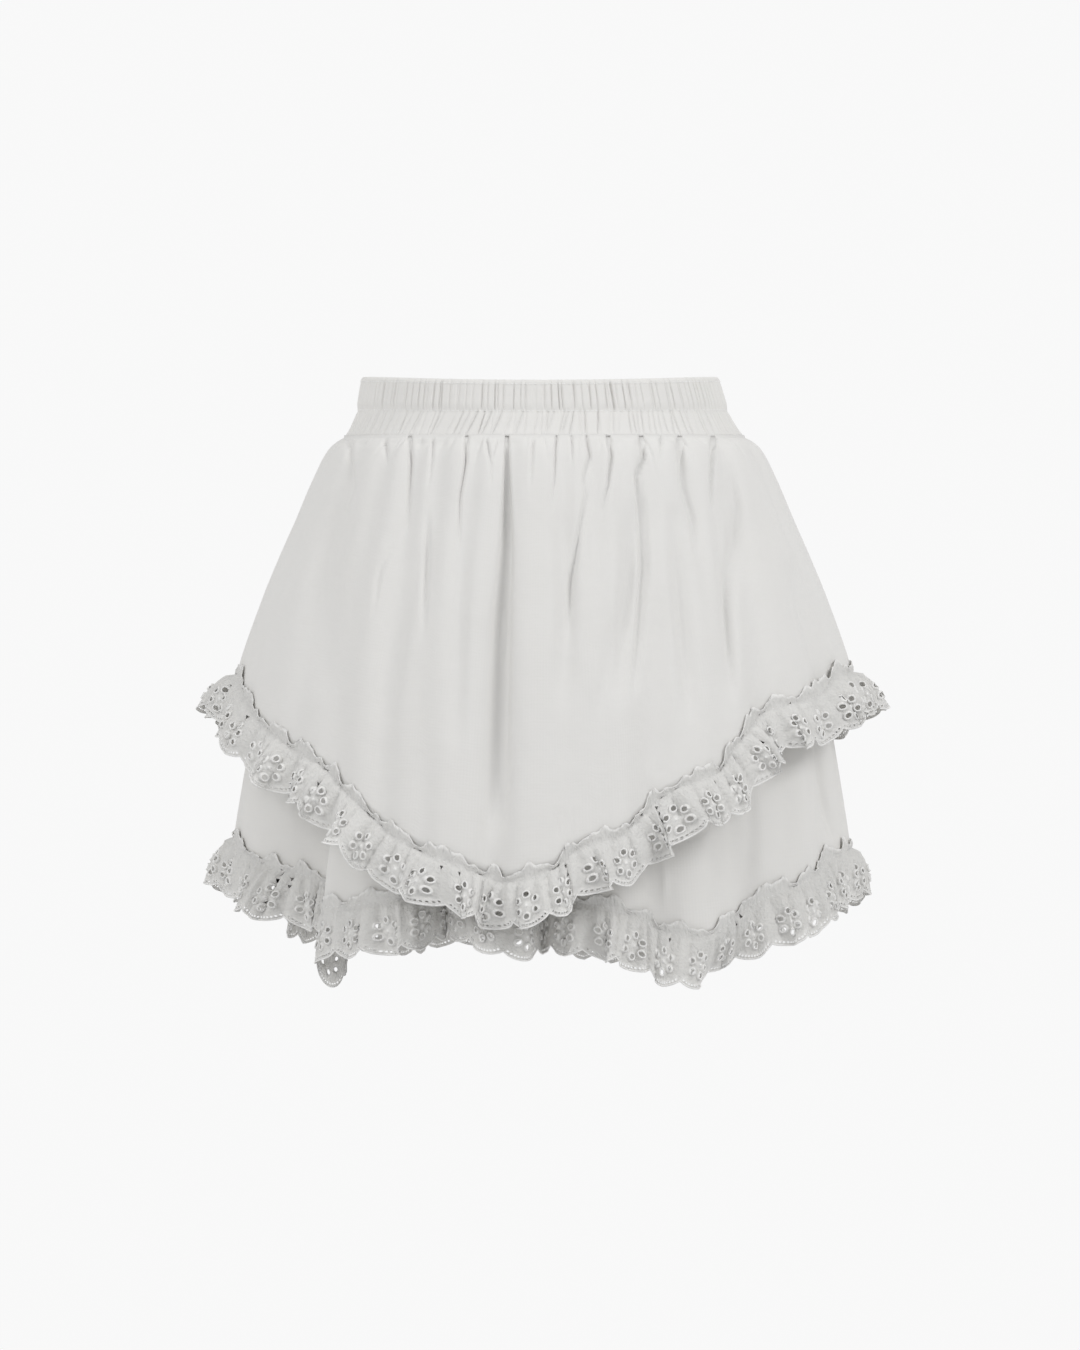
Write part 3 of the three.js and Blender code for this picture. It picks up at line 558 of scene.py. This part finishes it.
# One scallop of the edging on the flat, with its holes cut: points, triangles, heights, satin
def eyeletTile(drop):
    e = edging
    width = e["width"]
    points, heights, satin, lines, holes, taken = [], [], [], [], [], []

    def add(x, y, height=0.0, thread=0.0):
        points.append(Vector((x, y)))
        heights.append(height)
        satin.append(thread)
        return len(points) - 1

    def ring(x, y, sizes, turn, count, height, thread):
        first = len(points)
        for k in range(count):
            a, b = sizes[0] * math.cos(tau * k / count), sizes[1] * math.sin(tau * k / count)
            add(x + a * math.cos(turn) - b * math.sin(turn), y + a * math.sin(turn) + b * math.cos(turn),
                height, thread)
        lines.extend((first + k, first + (k + 1) % count) for k in range(count))

    def satinHeight(inset):
        place = inset / e["edgeSatin"]
        return e["edgeHeight"] * (0.55 + 0.45 * math.sin(np.pi * place)) if place < 0.99 else 0.0

    # the outline has the same points on both sides, so that neighbours join
    half = e["edgeSatin"] / 2
    notch = float(scallopEdge(0.0, drop))
    down = [-e["header"]] + [y for y in e["sideRows"] if y < notch - 2.6 * half]
    down += [notch - 2 * half, notch - half, notch]
    left, right = [], []
    for y in down:
        height, thread = satinHeight(notch - y), float(notch - y < 1.9 * half)
        left.append(add(0, y, height, thread))
        right.append(add(width, y, height, thread))
    lines.extend(zip(left, left[1:]))
    lines.extend(zip(right, right[1:]))
    across = e["acrossSteps"]
    # the header's top row is a rolled edge, raised a little and given the whiter thread colour as a
    # painted highlight along it
    for k, row in ((0, -e["header"]), (3, 0.0)):
        rolledHighlight = 1.0 if k == 0 else 0.0
        chain = [left[k]]
        for i in range(1, across):
            chain.append(add(width * i / across, row, e["dotHeight"] * rolledHighlight, rolledHighlight))
        chain.append(right[k])
        lines.extend(zip(chain, chain[1:]))
    steps = e["edgeSteps"]
    for k in range(3):
        inset = k * half
        chain = [left[-1 - k]]
        for i in range(1, steps):
            nx, ny = scallopNormal(i / steps)
            x, y = i / steps * width, float(scallopEdge(i / steps, drop))
            chain.append(add(x - nx * inset, y - ny * inset, satinHeight(inset), float(k < 2)))
        chain.append(right[-1 - k])
        lines.extend(zip(chain, chain[1:]))

    middle = e["flowerDown"] * drop
    for k in range(e["petals"]):
        angle = tau * k / e["petals"] + tau / 4
        x = width / 2 + e["petalRing"] * math.cos(angle)
        y = middle + e["petalRing"] * math.sin(angle)
        turn = angle - tau / 4
        ring(x, y, e["hole"], turn, e["ringSides"], 0.6 * e["rimHeight"], 1.0)
        ring(x, y, e["rimCrest"], turn, e["ringSides"], e["rimHeight"], 1.0)
        ring(x, y, e["rim"], turn, e["ringSides"], 0.0, 0.4)
        ring(x, y, e["groove"], turn, e["ringSides"], -e["grooveDepth"], 0.0)
        holes.append((x, y, e["hole"], turn))
        taken.append((x, y, e["groove"][1] + 0.0006))
    add(width / 2, middle, e["rimHeight"] * 0.7, 1.0)
    ring(width / 2, middle, (e["centre"] * 0.6,) * 2, 0, e["dotSides"], e["rimHeight"] * 0.6, 1.0)
    ring(width / 2, middle, (e["centre"],) * 2, 0, e["dotSides"], 0.0, 0.4)
    taken.append((width / 2, middle, e["centre"] + 0.0008))
    for k in range(e["dots"]):
        u = (k + 0.5) / e["dots"]
        nx, ny = scallopNormal(u)
        x, y = u * width - nx * e["dotIn"], float(scallopEdge(u, drop)) - ny * e["dotIn"]
        x = min(max(x, e["dotRim"] + 0.0002), width - e["dotRim"] - 0.0002)
        ring(x, y, (e["dotHole"],) * 2, 0, e["dotSides"], e["dotHeight"], 1.0)
        ring(x, y, (e["dotRim"],) * 2, 0, e["dotSides"], 0.0, 0.4)
        holes.append((x, y, (e["dotHole"],) * 2, 0))
        taken.append((x, y, e["dotRim"] + 0.0004))
    y = -e["header"] + 0.0018
    row = 0
    while y < drop:
        for i in range(1, across):
            x = width * (i + 0.5 * (row % 2)) / across
            clear = all(math.hypot(x - cx, y - cy) > r for cx, cy, r in taken)
            inside = y < float(scallopEdge(min(1, x / width), drop)) - e["edgeSatin"] - 0.0007
            if clear and inside and 0.001 < x < width - 0.001 and abs(y) > 0.0008:
                add(x, y)
        y += e["mesh"]
        row += 1

    found, _, triangles, came, _, _ = delaunay_2d_cdt(points, lines, [], 0, 1e-7)
    place = np.array([(p.x, p.y) for p in found])
    height = np.array([heights[ids[0]] if ids else 0.0 for ids in came])
    thread = np.array([satin[ids[0]] if ids else 0.0 for ids in came])
    triangles = np.array([list(t) for t in triangles])
    centre = place[triangles].mean(axis=1)
    keep = centre[:, 1] < scallopEdge(np.clip(centre[:, 0] / width, 0, 1), drop) - 1e-6
    for x, y, sizes, turn in holes:
        dx, dy = centre[:, 0] - x, centre[:, 1] - y
        a = (dx * math.cos(turn) + dy * math.sin(turn)) / sizes[0]
        b = (-dx * math.sin(turn) + dy * math.cos(turn)) / sizes[1]
        keep &= a * a + b * b > 0.94
    return place, triangles[keep], height, thread


def waveStrength(tier, azimuth):
    strength = np.ones(azimuth.shape)
    if tier == "upper":
        return strength
    away = turnBetween(skirt["foldOver"]["azimuth"], azimuth) / 8
    strength = 1 - np.exp(-(away**4))
    for centre, width, depth, swing in skirt["lowerFlutes"]:
        beside = turnBetween(centre, azimuth) / (1.8 * width)
        strength *= 1 - min(1, depth / 0.012) * np.exp(-beside * beside)
    return strength


def trimPhase(scallop):
    whole = tau * scallop / edging["scallops"]
    return edging["waves"] * whole + 0.75 * np.sin(5 * whole) + 0.45 * np.sin(11 * whole)


# An uneven wave between -1 and 1 along the edging, so many to a scallop
def uneven(scallop, often, start):
    drift = 1.4 * np.sin(0.83 * scallop + start) + 0.8 * np.sin(2.3 * scallop + 2 * start)
    return np.sin(tau * often * scallop + drift + start)


# Points on the middle of the edging: scallops along a panel, and metres below the hem
def trimPoint(tier, side, scallop, down):
    e = edging
    total, drop = e["scallops"], e["drop"][tier]

    def hemAt(where, share=1.0):
        azimuth = evenAzimuths(tier, *panelRange(side), where / total)
        return tierPoint(tier, azimuth, np.full(azimuth.shape, share)), azimuth

    column = 1 / e["columns"]
    hem, azimuth = hemAt(scallop)
    above, _ = hemAt(scallop, e["plumbFrom"][tier])
    left, _ = hemAt(scallop - column)
    right, _ = hemAt(scallop + column)
    farLeft, _ = hemAt(np.maximum(scallop - 1, -column))
    farRight, _ = hemAt(np.minimum(scallop + 1, total + column))
    azimuth = turnBetween(0.0, azimuth)
    plumb = unit(hem - above)
    normal = -unit(np.cross(right - left, hem - above))
    square = unit(np.cross(farRight - farLeft, normal))
    strength = waveStrength(tier, azimuth)
    fromEnd = np.minimum(scallop, total - scallop) * e["columns"]
    ends = smoothStep(0, e["endColumns"], fromEnd)
    turn = (strength * ends)[..., None]
    fall = plumb + (square - plumb) * e["lean"] * turn
    for place, width, amount in e["tucks"] if tier == "lower" else ():
        away = turnBetween(place, azimuth) / width
        fall = fall - normal * (amount * np.exp(-away * away))[..., None]
    fall = unit(fall)
    sway = unit(np.cross(fall, normal))
    phase = trimPhase(scallop)
    shift = e["start"][tier]
    size = strength * (1 - e["waveUneven"] + e["waveUneven"] * np.sin(1.7 * scallop + shift))
    lift = size * (0.5 - 0.5 * np.cos(phase)) ** e["waveSharp"]
    t = np.clip(down / drop, 0, 1.2)
    curve = math.log(e["middleLift"]) / math.log(e["middle"])
    out = tiers["lap"] + e["edgeLift"] * lift * t**curve
    out = out + e["ease"] * strength * np.sin(np.pi * np.minimum(t, 1)) ** 2
    gentle = 0.35 + 0.65 * strength
    fold = np.abs(uneven(scallop, e["folds"] / 2, 0.7 + shift))
    out = out + e["foldDepth"] * gentle * fold * np.sqrt(t) * (1.25 - t)
    pucker = np.abs(uneven(scallop, e["puckers"] / 2, 2.1 + shift))
    above = np.maximum(-down, 0) / e["header"]
    puckered = smoothStep(0, 0.003, np.abs(down)) * np.where(down < 0, e["puckerAbove"], 1)
    out = out + e["puckerDepth"] * pucker * np.exp(-t * drop / e["puckerBelow"]) * puckered
    frill = 0.5 + 0.3 * uneven(scallop, 1.1, 1.3 + shift) + 0.25 * uneven(scallop, 2.7, 0.4 + shift)
    out = out + e["frillLift"] * gentle * ends * np.clip(frill, 0, 1) * above**0.7
    tall = 1 + e["frillUneven"] * uneven(scallop, 0.7, 0.2 + shift) + 0.22 * uneven(scallop, 1.7, 1.9)
    tall = tall + 0.1 * uneven(scallop, 3.1, 0.6)
    tall = 0.5 + (np.maximum(tall, 0.4) - 0.5) * ends
    along = np.where(down < 0, down * tall, down)
    hangs = np.where((down >= 0)[..., None], fall, plumb)
    point = hem + hangs * along[..., None] + normal * out[..., None]
    aside = e["sway"] * np.sin(2 * phase) * t * t + e["overlap"] * np.sin(phase + 0.5) * t * size
    return point - sway * (aside * turn[..., 0])[..., None]


def makeEdging(tier, side, tile):
    place, triangles, height, thread = tile
    e = edging
    count = e["scallops"]
    scallop = (np.arange(count)[:, None] + place[None, :, 0] / e["width"]).ravel()
    down = np.tile(place[:, 1], count)
    points = trimPoint(tier, side, scallop, down)
    step = 0.02
    along = trimPoint(tier, side, scallop + step, down) - trimPoint(tier, side, scallop - step, down)
    fall = trimPoint(tier, side, scallop, down + 0.0006) - trimPoint(tier, side, scallop, down - 0.0006)
    outwards = -unit(np.cross(along, fall))
    points = points + outwards * np.tile(height, count)[:, None]
    faces = (triangles[None] + np.arange(count)[:, None, None] * len(place)).reshape(-1, 3)
    # points that neighbouring scallops share are kept once
    key = np.round(np.stack([scallop * 1e5, down * 1e7], axis=1)).astype(np.int64)
    _, first, same = np.unique(key, axis=0, return_index=True, return_inverse=True)
    faces = same.ravel()[faces]
    points, outwards = points[first], outwards[first]
    corner = points[faces]
    facing = np.cross(corner[:, 1] - corner[:, 0], corner[:, 2] - corner[:, 0])
    wrong = (facing * outwards[faces[:, 0]]).sum(axis=1) < 0
    faces[wrong] = faces[wrong][:, ::-1]
    piece = newPiece(f"{tier}_eyelet_edging_{side}", points, faces)
    addFlatMap(piece, np.stack([scallop * e["width"], down], axis=1)[first])
    addShares(piece, "satin", np.tile(thread, count)[first])
    modify(piece, "SOLIDIFY", thickness=e["thickness"], offset=0)
    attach(piece, "root")
    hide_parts(f"{tier}_trim_{side}")
    return piece


# Waistband

band = {
    "flat": (0.93, 0.0405),  # of the strip that shows, before the elastic draws it up
    "columns": 2400,
    "rows": 22,
    "insideRows": 5,
    "height": 0.0405,
    "dip": 0.0034,
    "wall": 0.0034,
    # the outside: height, half width, half depth, and how deep the gathers are
    "profile": (
        (0, 0.1200, 0.0928, 0.10),
        (-0.0007, 0.1210, 0.0937, 0.45),
        (-0.0026, 0.1217, 0.0943, 0.70),
        (-0.0034, 0.1217, 0.0943, 0.60),
        (-0.0060, 0.1224, 0.0948, 1.00),
        (-0.0120, 0.1238, 0.0958, 1.00),
        (-0.0190, 0.1252, 0.0970, 0.90),
        (-0.0218, 0.1252, 0.0970, 0.50),
        (-0.0226, 0.1249, 0.0968, 0.35),
        (-0.0236, 0.1256, 0.0973, 0.70),
        (-0.0290, 0.1284, 0.0994, 1.00),
        (-0.0360, 0.1322, 0.1022, 1.00),
        (-0.0392, 0.1345, 0.1040, 0.70),
        (-0.0405, 0.1351, 0.1045, 0.10),
    ),
    "split": -0.0224,
    # the two channels: the height of the middle, and the share of the slant
    "channels": ((-0.012, 0.2), (-0.031, 1.0)),
    "halfChannel": 0.017,
    "gathers": 178,  # round each channel
    "depth": (0.0005, 0.0016),
    "gatherWidth": (0.0004, 0.0008),
    "radius": 0.115,
    "fullness": 1.35,  # flat length over drawn-up length, for the weave
    "slant": 0.042,  # how far the lower channel's gathers lean over its height, in radians
    "ends": 0.45,  # how deep the gathers still are at the sides
    "seed": 11,
    # where the strip's two ends are joined
    "joinAt": 22.3,
    "joinDepth": 0.0022,
    "joinWidth": 0.0008,
}


def turnFrom(angle, centre):
    return np.mod(angle - centre + math.pi, tau) - math.pi


# Points round the outside of the band; angle in radians
def bandPoint(angle, z, gathered=True):
    halfWidth, halfDepth, share = (readTable(band["profile"], 0, k, z) for k in (1, 2, 3))
    depth = np.zeros(angle.shape)
    for n, (middle, leans) in enumerate(band["channels"] if gathered else ()):
        inChannel = z < band["split"] if n else z >= band["split"]
        chance = random.Random(band["seed"] + n)
        for k in range(band["gathers"]):
            centre = tau * (k + 0.5 + chance.uniform(-0.48, 0.48)) / band["gathers"]
            size = chance.uniform(*band["depth"])
            width = chance.uniform(*band["gatherWidth"])
            lean = band["slant"] * leans * chance.uniform(0.4, 1.4) * max(0.3, math.cos(centre))
            lies = centre + lean * (z - middle) / band["halfChannel"]
            away = turnFrom(angle, lies) * band["radius"] / width
            near = inChannel & (np.abs(away) < 3)
            depth[near] += size * np.exp(-away[near] ** 2)
    depth *= share * (band["ends"] + (1 - band["ends"]) * np.abs(np.cos(angle)))
    seam = turnFrom(angle, math.radians(band["joinAt"])) * band["radius"] / band["joinWidth"]
    inUpper = smoothStep(-0.0222, -0.0208, z) * (1 - smoothStep(-0.003, -0.001, z))
    depth += band["joinDepth"] * np.exp(-seam * seam) * inUpper
    dip = band["dip"] * np.cos(angle) ** 2 * (1 + z / band["height"])
    centre = skirt["upperSections"][0][3] * -z / band["height"]
    x = centre + (halfWidth - depth) * np.sin(angle)
    return np.stack([x, -(halfDepth - depth) * np.cos(angle), z - dip], axis=-1)


def makeBand():
    across, rows = band["columns"], band["rows"]
    angle = tau * np.arange(across) / across
    a, h = np.meshgrid(angle, -band["height"] * np.linspace(0, 1, rows), indexing="ij")
    outer = bandPoint(a, h)
    a, h = np.meshgrid(angle, np.linspace(-band["height"], 0, band["insideRows"]), indexing="ij")
    inward = np.stack([np.sin(a), -np.cos(a), np.zeros_like(a)], axis=-1)
    wall = bandPoint(a, h, gathered=False) - inward * band["wall"]
    points = np.concatenate([outer, wall], axis=1)
    down = rows + band["insideRows"]
    i = np.arange(across)
    beside = (i + 1) % across
    lid = np.stack([i * down + down - 1, i * down, beside * down, beside * down + down - 1], axis=-1)
    faces = np.concatenate([gridFaces(across, down, closed=True), lid])
    piece = newPiece("waistband_cloth", points.reshape(-1, 3), faces)
    walked = np.cumsum(np.linalg.norm(np.diff(points, axis=1, prepend=points[:, :1]), axis=2), axis=1)
    around = np.broadcast_to(angle[:, None] * band["radius"] * band["fullness"], walked.shape)
    addFlatMap(piece, np.stack([around, walked], axis=-1).reshape(-1, 2))
    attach(piece, "root")
    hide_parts("waistband")
    return piece


# Stitches

stitching = {
    "length": 0.0024,
    "gap": 0.0009,
    "radius": 0.00022,
    "sides": 6,
    "sunk": 0.00005,
    # share of the length, and share of the radius there
    "profile": ((0.0, 0.25), (0.1, 0.85), (0.5, 1.0), (0.9, 0.85), (1.0, 0.25)),
    "bandRows": (-0.0030, -0.0223),
}


# Short threads along a line of points, one after another
def makeStitches(name, points, normals):
    s = stitching
    gone = np.concatenate([[0.0], np.cumsum(np.linalg.norm(np.diff(points, axis=0), axis=1))])
    pitch = s["length"] + s["gap"]
    starts = np.arange(0, gone[-1] - s["length"], pitch)
    profile, sides = s["profile"], s["sides"]

    def read(table, at):
        return np.stack([np.interp(at, gone, table[:, k]) for k in range(3)], axis=-1)

    rings = []
    for share, wide in profile:
        at = starts + share * s["length"]
        rise = s["radius"] * (0.25 + 0.75 * math.sin(math.pi * share)) - s["sunk"]
        normal = unit(read(normals, at))
        centre = read(points, at) + normal * rise
        ahead = unit(read(points, at + 0.0002) - read(points, at - 0.0002))
        beside = unit(np.cross(normal, ahead))
        for k in range(sides):
            turn = tau * k / sides
            spoke = beside * math.cos(turn) + normal * math.sin(turn)
            rings.append(centre + spoke * s["radius"] * wide)
    vertices = np.stack(rings, axis=1)
    per = len(profile) * sides
    local = []
    for r in range(len(profile) - 1):
        for k in range(sides):
            beside = (k + 1) % sides
            here, ahead = r * sides, (r + 1) * sides
            local.append((here + k, here + beside, ahead + beside, ahead + k))
    faces = (np.array(local)[None] + np.arange(len(starts))[:, None, None] * per).reshape(-1, 4)
    piece = newPiece(name, vertices.reshape(-1, 3), faces)
    addFlatMap(piece, np.zeros((len(starts) * per, 2)))
    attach(piece, "root")
    return piece


# Materials: the nodes of one material, and a socket that sums and products can be written with

class Graph:
    def __init__(self, name):
        self.material = bpy.data.materials.new(name)
        self.material.use_nodes = True
        self.tree = self.material.node_tree
        self.tree.nodes.clear()

    def add(self, kind, settings=None, output=0, **inputs):
        node = self.tree.nodes.new(kind)
        for key, value in (settings or {}).items():
            setattr(node, key, value)
        for key, value in inputs.items():
            byNumber = key[1:].isdigit()
            socket = node.inputs[int(key[1:]) if byNumber else key.replace("_", " ")]
            if isinstance(value, Value):
                self.tree.links.new(value.socket, socket)
            else:
                socket.default_value = value
        return Value(self, node.outputs[output])

    def mixColour(self, share, first, second):
        return self.add("ShaderNodeMix", {"data_type": "RGBA"}, output=2, i0=share, i6=first, i7=second)

    def finish(self, surface):
        end = self.tree.nodes.new("ShaderNodeOutputMaterial")
        self.tree.links.new(surface.socket, end.inputs["Surface"])
        return self.material


class Value:
    def __init__(self, graph, socket):
        self.graph = graph
        self.socket = socket

    def maths(self, operation, first, second=0.0):
        return self.graph.add("ShaderNodeMath", {"operation": operation}, i0=first, i1=second)

    def __add__(self, other):
        return self.maths("ADD", self, other)

    def __radd__(self, other):
        return self.maths("ADD", other, self)

    def __sub__(self, other):
        return self.maths("SUBTRACT", self, other)

    def __rsub__(self, other):
        return self.maths("SUBTRACT", other, self)

    def __mul__(self, other):
        return self.maths("MULTIPLY", self, other)

    def __rmul__(self, other):
        return self.maths("MULTIPLY", other, self)


cotton = {
    "base": (0.820, 0.817, 0.808, 1),
    "deeper": (0.785, 0.777, 0.758, 1),
    # the edging's cloth, darker than the tier's cloth as painted shade of its puckers
    "edgingPaintedShade": (0.730, 0.726, 0.712, 1),
    "lit": (0.86, 0.80, 0.66, 1),
    "thread": (0.930, 0.928, 0.920, 1),
    "roughness": 0.86,
    "sheen": 0.22,
    "sheenRoughness": 0.5,
    "specular": 0.25,
    "through": 0.12,  # share of the light that comes through from behind
    "wavesToUnit": 20,  # of Blender's wave texture, near enough
    "weavePitch": 0.00036,
    "weaveDepth": 0.00003,
    "slubDepth": 0.00005,
    "crumpleSize": 26.0,
    "crumpleDepth": 0.0016,
    # soft upright swells of the hanging cloth
    "billowSize": (26, 26, 5),
    "billowDepth": 0.0045,
    # cloth drawn in between the stitches of the edging
    "drawnSize": 420.0,
    "drawnDepth": 0.0011,
}


def cottonMaterial(name, crumple=1.0, satin=False):
    g = Graph(name)
    c = cotton
    flat = g.add("ShaderNodeUVMap", {"uv_map": "flatCloth"})
    place = g.add("ShaderNodeTexCoord", output=3)
    threads = 1 / c["weavePitch"] / c["wavesToUnit"]
    warp, weft = (g.add("ShaderNodeTexWave", {"bands_direction": way}, Vector=flat, Scale=threads,
                        Distortion=0.6) for way in "XY")
    weave = (warp + weft) * 0.5
    drawn = g.add("ShaderNodeMapping", Vector=flat, Scale=(60, 900, 1))
    slub = g.add("ShaderNodeTexNoise", Vector=drawn, Scale=1.0, Detail=3.0)
    soft = g.add("ShaderNodeTexNoise", Vector=place, Scale=c["crumpleSize"], Detail=3.0, Roughness=0.45)
    blotch = g.add("ShaderNodeTexNoise", Vector=place, Scale=9.0, Detail=2.0)
    tone = g.mixColour(slub * 0.5 + blotch * 0.5, c["base"], c["deeper"])
    rough = c["roughness"] - 0.06 + slub * 0.12
    hung = g.add("ShaderNodeMapping", Vector=place, Scale=c["billowSize"])
    billow = g.add("ShaderNodeTexNoise", Vector=hung, Scale=1.0, Detail=1.0)
    height = weave * c["weaveDepth"] + slub * c["slubDepth"] + soft * (c["crumpleDepth"] * crumple)
    height = height + billow * (c["billowDepth"] * crumple)
    if satin:
        share = g.add("ShaderNodeAttribute", {"attribute_name": "satin"}, output=2)
        # Painted shade: the edging's cloth takes a darker colour than the tier's cloth, for the shade of
        # its puckers. The satin rims and the scalloped edge take the whiter thread colour, which is the
        # thread's own colour and also a painted highlight on the raised satin.
        tone = g.mixColour(share, c["edgingPaintedShade"], c["thread"])
        fine = g.add("ShaderNodeTexNoise", Vector=flat, Scale=2600.0, Detail=1.0)
        rough = rough - share * 0.2
        drawnIn = g.add("ShaderNodeTexNoise", Vector=flat, Scale=c["drawnSize"], Detail=2.0)
        height = height + share * fine * 0.00012 + drawnIn * c["drawnDepth"]
    bump = g.add("ShaderNodeBump", Strength=1.0, Distance=1.0, Height=height)
    surface = g.add("ShaderNodeBsdfPrincipled", Base_Color=tone, Roughness=rough, Normal=bump,
                    Sheen_Weight=c["sheen"], Sheen_Roughness=c["sheenRoughness"],
                    Specular_IOR_Level=c["specular"])
    through = g.add("ShaderNodeBsdfTranslucent", Color=c["lit"], Normal=bump)
    return g.finish(g.add("ShaderNodeMixShader", i0=c["through"], i1=surface, i2=through))


def threadMaterial():
    g = Graph("cottonThread")
    place = g.add("ShaderNodeTexCoord", output=3)
    fine = g.add("ShaderNodeTexNoise", Vector=place, Scale=2200.0, Detail=2.0)
    tone = g.mixColour(fine, cotton["thread"], cotton["base"])
    bump = g.add("ShaderNodeBump", Strength=1.0, Distance=1.0, Height=fine * 0.00008)
    surface = g.add("ShaderNodeBsdfPrincipled", Base_Color=tone, Roughness=0.6 + fine * 0.2, Normal=bump,
                    Sheen_Weight=0.2)
    return g.finish(surface)


def plainMaterial(name, colour, glow=0.0):
    g = Graph(name)
    surface = g.add("ShaderNodeBsdfPrincipled", Base_Color=colour, Roughness=0.9, Specular_IOR_Level=0.1,
                    Emission_Color=(1, 1, 1, 1), Emission_Strength=glow)
    return g.finish(surface)


# The skirt

materials = {
    "tier_cloth": cottonMaterial("tierCotton"),
    "band_cloth": cottonMaterial("bandCotton", crumple=0.5),
    "eyelet_trim": cottonMaterial("edgingCotton", crumple=0.3, satin=True),
}
sewing = threadMaterial()

bandPiece = makeBand()
bandPiece.data.materials.append(materials["band_cloth"])
angles = tau * np.arange(4 * band["columns"]) / (4 * band["columns"])
for n, level in enumerate(stitching["bandRows"]):
    heights = np.full(angles.shape, level)
    line = bandPoint(angles, heights)
    outwards = np.stack([np.sin(angles), -np.cos(angles), np.zeros_like(angles)], axis=-1)
    threads = makeStitches(f"band_stitches_{n + 1}", line, outwards)
    threads.data.materials.append(sewing)
print("waistband made")

for tier in ("upper", "lower"):
    for side in ("front", "back"):
        cloth = makeTier(tier, side)
        cloth.data.materials.append(materials["tier_cloth"])
        trim = makeEdging(tier, side, eyeletTile(edging["drop"][tier]))
        trim.data.materials.append(materials["eyelet_trim"])
        scallops = np.linspace(0.02, edging["scallops"] - 0.02, 2400)
        line = trimPoint(tier, side, scallops, np.zeros_like(scallops))
        ahead = np.gradient(line, axis=0)
        fallen = trimPoint(tier, side, scallops, np.full_like(scallops, 0.001)) - line
        threads = makeStitches(f"{tier}_edging_stitches_{side}", line, -unit(np.cross(ahead, fallen)))
        threads.data.materials.append(sewing)
        hem, longest = cloth["hem"], cloth["longest"]
        faceAreas = np.empty(len(cloth.data.polygons))
        cloth.data.polygons.foreach_get("area", faceAreas)
        share = faceAreas.sum() / 2 / (hem * longest)  # both faces of the cloth are counted, so half
        print(cloth.name, "hem", round(hem, 3), "longest", round(longest, 3), "share", round(share, 2))
        min(1.0, share) * hem * longest
        print(tier, side, "made")

# Studio

studio = {
    "world": (1.0, 1.0, 1.0, 1),
    "worldStrength": 0.60,
    "wallGlow": 0.94,
    "paperSize": 9.0,
    "wallPlace": (0, 3.6, 0.4),
    "floorPlace": (0, 0, -1.9),
    "lightsAim": (0, 0, -0.2),
    # place, size and power of each soft box
    "boxes": {
        "rightLight": ((2.6, -1.8, 2.0), 1.4, 56.0),
        "leftLight": ((-2.5, -1.9, 1.8), 1.6, 42.0),
    },
}


def aim(place, target):
    return (Vector(target) - Vector(place)).to_track_quat("-Z", "Y").to_euler()


bpy.ops.mesh.primitive_plane_add(size=studio["paperSize"], location=studio["wallPlace"],
                                 rotation=(math.pi / 2, 0, 0))
wall = bpy.context.object
wall.name = "backdrop"
wall.data.materials.append(plainMaterial("backdropPaper", (0.0, 0.0, 0.0, 1), studio["wallGlow"]))
bpy.ops.mesh.primitive_plane_add(size=studio["paperSize"], location=studio["floorPlace"])
floor = bpy.context.object
floor.name = "studioFloor"
floor.data.materials.append(plainMaterial("floorPaper", (0.82, 0.82, 0.82, 1)))

for name, (place, size, power) in studio["boxes"].items():
    bpy.ops.object.light_add(type="AREA", location=place, rotation=aim(place, studio["lightsAim"]))
    box = bpy.context.object
    box.name = name
    box.data.size = size
    box.data.energy = power

world = bpy.data.worlds.new("studioAir")
bpy.context.scene.world = world
world.use_nodes = True
world.node_tree.nodes["Background"].inputs["Color"].default_value = studio["world"]
world.node_tree.nodes["Background"].inputs["Strength"].default_value = studio["worldStrength"]

bpy.ops.object.camera_add(location=shot["eye"], rotation=aim(shot["eye"], shot["aim"]))
camera = bpy.context.object
camera.data.lens = shot["lens"]
camera.data.clip_end = 20
bpy.context.scene.camera = camera
bpy.context.scene.view_settings.view_transform = "Standard"
print("studio made")
